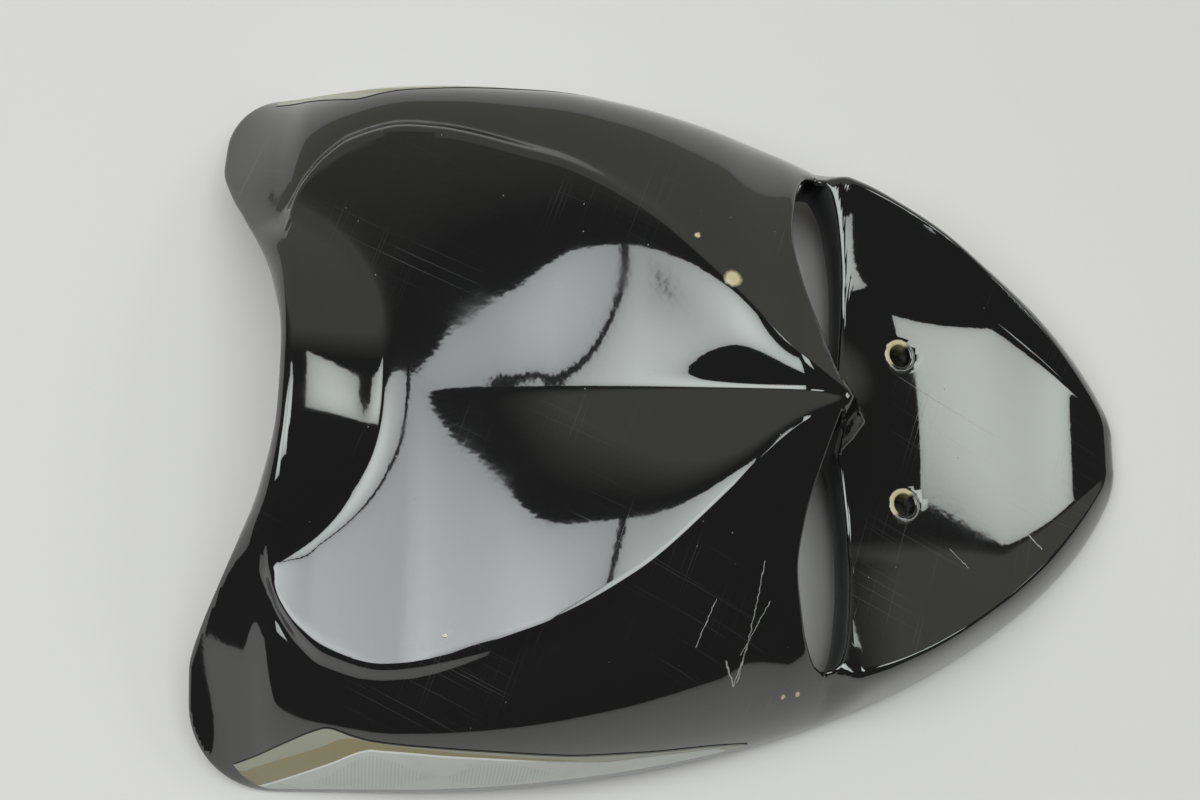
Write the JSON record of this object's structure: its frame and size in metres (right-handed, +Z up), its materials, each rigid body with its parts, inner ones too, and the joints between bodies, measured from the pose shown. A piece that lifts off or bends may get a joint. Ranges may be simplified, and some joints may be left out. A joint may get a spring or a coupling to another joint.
{
  "type": "motorcycle headlight fairing",
  "caption": "Moulded gloss black front cowl of a small motorcycle: a hood with a raised panel, slanting lamp openings and a shield-shaped nose with bolt holes.",
  "frame": {"origin": "on the floor, under the middle of the box round the fairing as it lies on its rim", "axes": "+X along the fairing to the nose, +Y to its left side, +Z up out of the hood"},
  "size_m": [0.4118, 0.317, 0.1069],
  "materials": {
    "black_paint": "gloss black paint on moulded plastic, lightly scratched"
  },
  "bodies": {
    "root": {"fairing_shell": "black_paint"}
  },
  "joints": []
}
